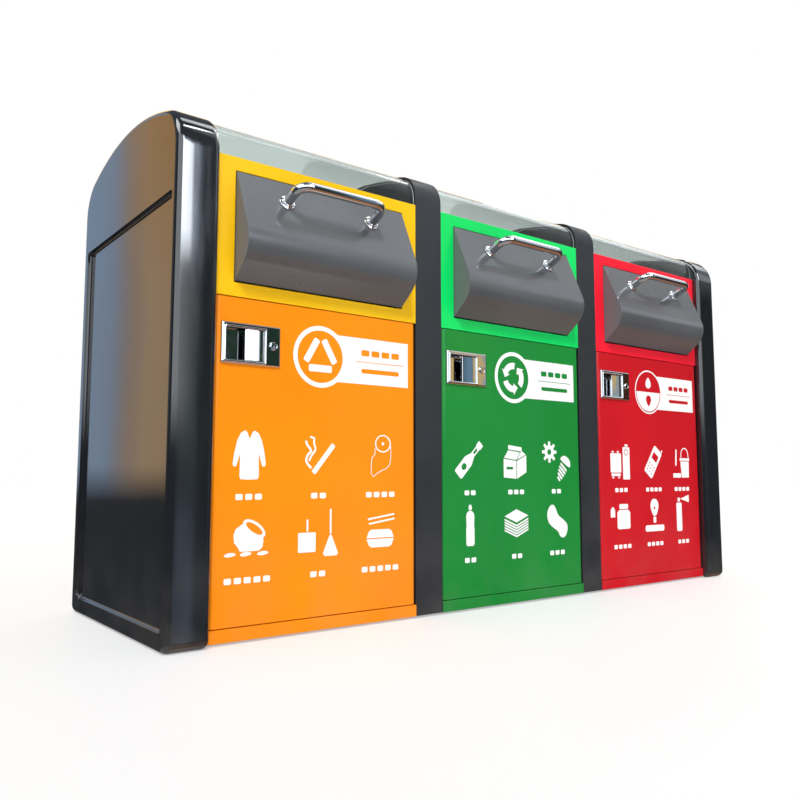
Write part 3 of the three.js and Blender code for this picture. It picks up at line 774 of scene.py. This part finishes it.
def phone():
    keys = [disc(-15 + 15 * i, -14 - 13 * j, 3) for i in range(3) for j in range(3)]
    body = [plate(-27, 27, -56, 56, 7), plate(-17, 17, 8, 34, 2), plate(17, 24, 58, 66)]
    return shifted(body + keys, 0, 0, -36)


def paint_bucket():
    pail = [(-4, 4), (50, 4), (48, -56), (2, -56)]
    bail = ribbon([(0, 18), (2, 44), (24, 56), (44, 44), (48, 18)], 4)
    return [pail, plate(-8, 54, 7, 16), bail, bar(-34, -12, -30, 48, 8), plate(-52, -4, -56, -40)]


def medicine_bottle():
    jar = [(-16, 24), (36, 24), (45, 15), (45, -36), (40, -41), (-21, -41), (-26, -36), (-26, 15)]
    cup = [(-62, 0), (-62, 22), (-57, 31), (-50, 35), (-43, 31), (-38, 22), (-38, 0)]
    return [jar, plate(-14, 34, 27, 44, 5), cup]


def bulb_and_tube():
    bulb = soft(mirrored([(0, 60), (18, 54), (26, 34), (16, 10), (8, -2)]))
    return [bulb, plate(-8, 8, -26, -5, 2), plate(-56, 56, -56, -34, 8), disc(0, 26, 5)]


def spray_can():
    return [plate(-39, -6, -62, 42, 5), plate(-30, -16, 46, 60), [(-14, 56), (42, 70), (42, 42)]]


# Each symbol with the number of blocks in its label, in two rows of three.
SYMBOLS = {
    "left": (
        ((coat, 3), (cigarette, 2), (paper_roll, 4)),
        ((broken_pot, 5), (dustpan_and_broom, 2), (food_box, 5)),
    ),
    "middle": (
        ((glass_bottle, 2), (milk_carton, 3), (gear_and_screw, 2)),
        ((plastic_bottle, 2), (paper_stack, 2), (crushed_can, 3)),
    ),
    "right": (
        ((batteries, 3), (phone, 4), (paint_bucket, 4)),
        ((medicine_bottle, 4), (bulb_and_tube, 4), (spray_can, 3)),
    ),
}
COLUMN_X = {"left": (97, 288, 479), "middle": (106, 296, 478), "right": (118, 306, 481)}
ROW_Z, LABEL_Z = (432, 242), (334, 142)
BLOCK_PITCH, BLOCK_HALF_WIDTH, BLOCK_HALF_HEIGHT = 25, 9, 7
SIGN_X, SIGN_Z, SIGN_RADIUS = 290, 684, 79
SIGN_INSIDE = {"left": 67, "middle": 67, "right": 74}
FLAG_RIGHT, FLAG_HALF = 571, 61


def label(x, z, blocks):
    """A short row of plain blocks where a label would go."""
    low, high = z - BLOCK_HALF_HEIGHT, z + BLOCK_HALF_HEIGHT
    start = x - (blocks - 1) * BLOCK_PITCH / 2
    middles = [start + k * BLOCK_PITCH for k in range(blocks)]
    return [plate(at - BLOCK_HALF_WIDTH, at + BLOCK_HALF_WIDTH, low, high, 3) for at in middles]


def door_icons(bay):
    """The six symbols of a door and the labels under them."""
    loops = []
    for row, symbol_z, label_z in zip(SYMBOLS[bay], ROW_Z, LABEL_Z):
        for (draw, blocks), x in zip(row, COLUMN_X[bay]):
            loops += shifted(draw(), x, symbol_z)
            loops += label(x, label_z, blocks)
    return loops


def flag_outline():
    """The round badge and the flag on its right as one outline."""
    meet = math.asin(FLAG_HALF / SIGN_RADIUS)
    steps = 48
    arc = []
    for k in range(steps + 1):
        angle = meet + (math.tau - 2 * meet) * k / steps
        arc.append((SIGN_X + SIGN_RADIUS * math.cos(angle), SIGN_Z + SIGN_RADIUS * math.sin(angle)))
    return arc + [(FLAG_RIGHT, SIGN_Z - FLAG_HALF), (FLAG_RIGHT, SIGN_Z + FLAG_HALF)]


def flag_lines():
    """Plain bars on the flag where wording would go."""
    middle = (SIGN_X + SIGN_RADIUS + FLAG_RIGHT) / 2 + 8
    middles = [middle + k * 33 for k in (-1.5, -0.5, 0.5, 1.5)]
    blocks = [plate(at - 13, at + 13, SIGN_Z + 14, SIGN_Z + 30, 4) for at in middles]
    rule = plate(middle - 78, middle + 78, SIGN_Z - 3, SIGN_Z - 1, 0.8)
    lower_bar = plate(middle - 62, middle + 62, SIGN_Z - 32, SIGN_Z - 20, 5)
    return blocks + [rule, lower_bar]


def spot(radius, degrees):
    """A point at a radius and a turn from +x."""
    return (radius * math.cos(math.radians(degrees)), radius * math.sin(math.radians(degrees)))


def three_bars():
    """A triangle of three bars."""
    side = [plate(-34, 34, -9, 9, 4)]
    return [loop for k in range(3) for loop in shifted(side, *spot(30, 30 + 120 * k), 120 * k - 60)]


def chasing_arrows():
    """Three arrows that follow each other round a circle."""
    loops = []
    for k in range(3):
        start = 90 + 120 * k
        outer = [spot(46, start - 10 + 8 * i) for i in range(10)]
        inner = [spot(26, start - 10 + 8 * i) for i in range(10)]
        tip = [spot(18, start + 62), spot(36, start + 92), spot(54, start + 62)]
        loops.append(inner + tip + outer[::-1])
    return loops


def half_and_drop():
    """A disc whose lower half is filled, with a plain drop in each half."""
    lower = [spot(70, 180 + 6 * k) for k in range(31)]
    drop = soft([(0, 24), (15, 2), (16, -10), (8, -20), (-8, -20), (-16, -10), (-15, 2)])
    return [lower] + shifted([drop], 0, 34) + shifted([drop], 0, -32, 180)


def door_sign(bay):
    inner = disc(SIGN_X, SIGN_Z, SIGN_INSIDE[bay], count=64)
    mark = {"left": three_bars, "middle": chasing_arrows, "right": half_and_drop}[bay]()
    return [flag_outline(), inner] + flag_lines() + shifted(mark, SIGN_X, SIGN_Z)


def vinyl_mesh(name, bay, loops):
    """Thin cut film on the door's face from flat loops."""
    curve = bpy.data.curves.new(name, "CURVE")
    curve.dimensions = "2D"
    curve.fill_mode = "BOTH"
    curve.extrude = VINYL_THICK / 2
    for loop in loops:
        spline = curve.splines.new("POLY")
        spline.points.add(len(loop) - 1)
        for point, (x, z) in zip(spline.points, loop):
            point.co = (*millimetres(x, z), 0.0, 1.0)
        spline.use_cyclic_u = True
    holder = bpy.data.objects.new(name, curve)
    SCENE.collection.objects.link(holder)
    mesh = evaluated_mesh(holder)
    bpy.data.objects.remove(holder)
    left = Vector((BAY_X[bay] - BAY_HALF, FRONT_Y - VINYL_THICK / 2 - VINYL_GAP, 0.0))
    mesh.transform(Matrix.Translation(left) @ Matrix.Rotation(math.pi / 2, 4, "X"))
    mesh.materials.clear()
    return mesh


def door_graphics(bay):
    for kind, loops in (("icons", door_icons(bay)), ("sign", door_sign(bay))):
        name = f"door_{kind}_{bay}"
        add_piece(name, vinyl_mesh(name, bay, loops), VINYL_WHITE, f"door_{bay}")


for bay in BAYS:
    pull_handle(bay)
    latch_housing(bay)
    latch_paddle(bay)
    lock_barrel(bay)
    door_graphics(bay)


# ---------- studio ----------
# Cards that only reflections see. Azimuth is from -Y towards +X, and both angles are in degrees:
# (colour, (azimuth from, to, softness), (elevation from, to, softness)); later cards cover earlier ones.
CARDS = (
    ((0.10, 0.12, 0.13), (-180.0, 180.0, 1.0), (24.0, 90.0, 8.0)),  # dim ceiling
    ((0.30, 0.30, 0.31), (-180.0, 180.0, 1.0), (-90.0, -28.0, 4.0)),  # floor close by
    ((0.34, 0.14, 0.06), (20.0, 108.0, 5.0), (-90.0, -28.0, 4.0)),  # brown floor, front right
    ((0.85, 0.82, 0.80), (60.0, 82.0, 4.0), (-74.0, -56.0, 2.0)),  # paler floor, front right
    ((1.20, 0.82, 0.42), (116.0, 180.0, 4.0), (2.0, 38.0, 1.5)),  # warm wall, rear right
    ((0.95, 0.96, 0.96), (96.0, 122.0, 4.0), (2.0, 18.0, 2.0)),  # bright wall, right
    ((2.60, 2.70, 2.80), (82.0, 114.0, 2.0), (34.0, 85.0, 4.0)),  # bright ceiling, right
    ((0.80, 0.85, 0.92), (40.0, 78.0, 4.0), (14.0, 61.0, 2.0)),  # grey ceiling, front right
    ((0.36, 0.37, 0.35), (69.0, 80.0, 3.0), (14.0, 48.0, 2.0)),  # darker part of it
    ((0.34, 0.47, 0.66), (-175.0, -162.0, 1.2), (-0.5, 36.0, 1.2)),  # blue-grey wall, rear left
    ((0.75, 0.50, 0.28), (-162.0, -145.0, 1.2), (-0.5, 36.0, 1.2)),  # warm wall, rear left
    ((0.70, 0.40, 0.15), (-162.0, -145.0, 1.2), (18.0, 36.0, 5.0)),  # browner above
    ((0.16, 0.19, 0.19), (-145.0, -110.0, 6.0), (2.0, 36.0, 4.0)),  # dark wall, left
    ((0.016, 0.034, 0.024), (21.0, 32.0, 1.0), (-30.0, 14.0, 2.0)),  # dark green, front
    ((0.14, 0.24, 0.33), (32.0, 39.0, 1.0), (-12.0, 20.0, 3.0)),  # slate, front right
    ((0.30, 0.36, 0.38), (40.0, 48.0, 0.4), (-4.0, 20.0, 3.0)),  # grey, front right
    ((0.62, 0.44, 0.17), (39.6, 44.4, 0.3), (6.1, 20.0, 0.15)),  # gold, over its upper part
    ((0.05, 0.022, 0.012), (50.0, 56.0, 1.0), (-4.0, 18.0, 3.0)),  # dark brown, front right
    ((0.25, 0.33, 0.32), (20.0, 23.2, 0.4), (0.0, 14.0, 2.0)),  # dim green, front
    ((0.32, 0.40, 0.54), (20.0, 23.2, 0.6), (-14.0, -1.5, 2.0)),  # dim blue under it
    ((1.8, 1.9, 2.0), (-74.0, 20.8, 2.0), (4.0, 40.0, 2.0)),  # window, front left
    ((5.0, 5.2, 5.4), (-112.0, -50.0, 4.0), (40.0, 66.0, 3.0)),  # skylight, left
    ((1.1, 1.35, 1.7), (4.0, 23.0, 0.4), (15.8, 38.0, 1.5)),  # window's dim edge
    ((13.0, 13.8, 15.0), (4.0, 21.45, 0.2), (16.2, 38.0, 1.2)),  # window, front
    ((16.0, 16.0, 16.0), (44.0, 56.0, 1.0), (62.2, 65.2, 0.5)),  # lamp strip overhead
    ((16.0, 16.0, 16.0), (101.0, 112.0, 1.0), (52.5, 55.5, 0.5)),  # lamp strip, right
    ((16.0, 16.0, 16.0), (122.0, 126.5, 0.5), (33.0, 36.0, 0.5)),  # lamp strip, rear right
)
UNLIT = (0.03, 0.033, 0.038)  # what gloss reflects between the cards
SOFT_LIGHT = (0.55, 0.56, 0.57)
BACKDROP = (1.0, 1.0, 1.0)
FLOOR_REACH = 30.0
KEY_FROM = Vector((-2.4, -4.0, 5.6))
KEY_STRENGTH = 2.3
KEY_SPREAD = 11.0  # degrees, for soft shadows


def key_light():
    """Soft sun that falls evenly over the floor and the object."""
    light = bpy.data.lights.new("key", "SUN")
    light.energy = KEY_STRENGTH
    light.angle = math.radians(KEY_SPREAD)
    obj = bpy.data.objects.new("key", light)
    SCENE.collection.objects.link(obj)
    obj.visible_glossy = False
    obj.location = KEY_FROM
    obj.rotation_euler = (-KEY_FROM).to_track_quat("-Z", "Y").to_euler()


def studio_floor():
    """Plain pale floor, whose faint light of its own keeps shadows and colour bounce soft."""
    mesh = bpy.data.meshes.new("floor")
    low, high = -FLOOR_REACH, FLOOR_REACH
    corners = [(low, low, 0.0), (high, low, 0.0), (high, high, 0.0), (low, high, 0.0)]
    mesh.from_pydata(corners, [], [(0, 1, 2, 3)])
    floor = bpy.data.objects.new("floor", mesh)
    SCENE.collection.objects.link(floor)
    ground = Finish("floor", Roughness=0.6, Emission_Color=(1.0, 1.0, 1.0), Emission_Strength=0.38)
    patches = ground.blend_colors(ground.noise(1.5), (0.54, 0.54, 0.54), (0.57, 0.57, 0.57))
    ground.link(patches, "Base_Color")
    ground.material.cycles.emission_sampling = "NONE"
    mesh.materials.append(ground.material)
    floor.visible_glossy = False


def studio_world():
    """White backdrop to the eye, even soft light on matt surfaces, and large cards for gloss to reflect."""
    world = bpy.data.worlds.new("studio")
    world.use_nodes = True
    graph = Graph(world.node_tree)
    way = graph.tree.nodes.new("ShaderNodeTexCoord").outputs["Generated"]
    axes = graph.node("ShaderNodeSeparateXYZ", Vector=way).outputs
    turn = graph.math("ARCTAN2", axes["X"], graph.math("MULTIPLY", axes["Y"], -1.0))  # 0 at -Y, towards +X
    rise = graph.math("ARCSINE", axes["Z"])
    color = UNLIT
    for card, azimuth, elevation in CARDS:
        across = graph.band(turn, *map(math.radians, azimuth))
        up = graph.band(rise, *map(math.radians, elevation))
        color = graph.blend_colors(graph.math("MULTIPLY", across, up), color, card)
    ray = graph.tree.nodes.new("ShaderNodeLightPath").outputs
    seen = graph.math("MAXIMUM", ray["Is Camera Ray"], ray["Is Transmission Ray"])
    color = graph.blend_colors(ray["Is Glossy Ray"], SOFT_LIGHT, color)
    color = graph.blend_colors(seen, color, BACKDROP)
    graph.tree.links.new(color, graph.tree.nodes["Background"].inputs["Color"])
    SCENE.world = world


CAMERA_PLACE = (-1.735, FRONT_Y - 1.674, 0.384)
CAMERA_RISE, CAMERA_TURN = math.radians(5.54), math.radians(-37.52)


def camera():
    data = bpy.data.cameras.new("camera")
    data.lens = 35.0
    data.sensor_width = 36.0
    data.clip_end = 100.0
    obj = bpy.data.objects.new("camera", data)
    SCENE.collection.objects.link(obj)
    obj.location = CAMERA_PLACE
    obj.rotation_euler = (math.radians(90) + CAMERA_RISE, 0.0, CAMERA_TURN)
    SCENE.camera = obj


camera()
studio_floor()
studio_world()
key_light()
SCENE.view_settings.view_transform = "Standard"
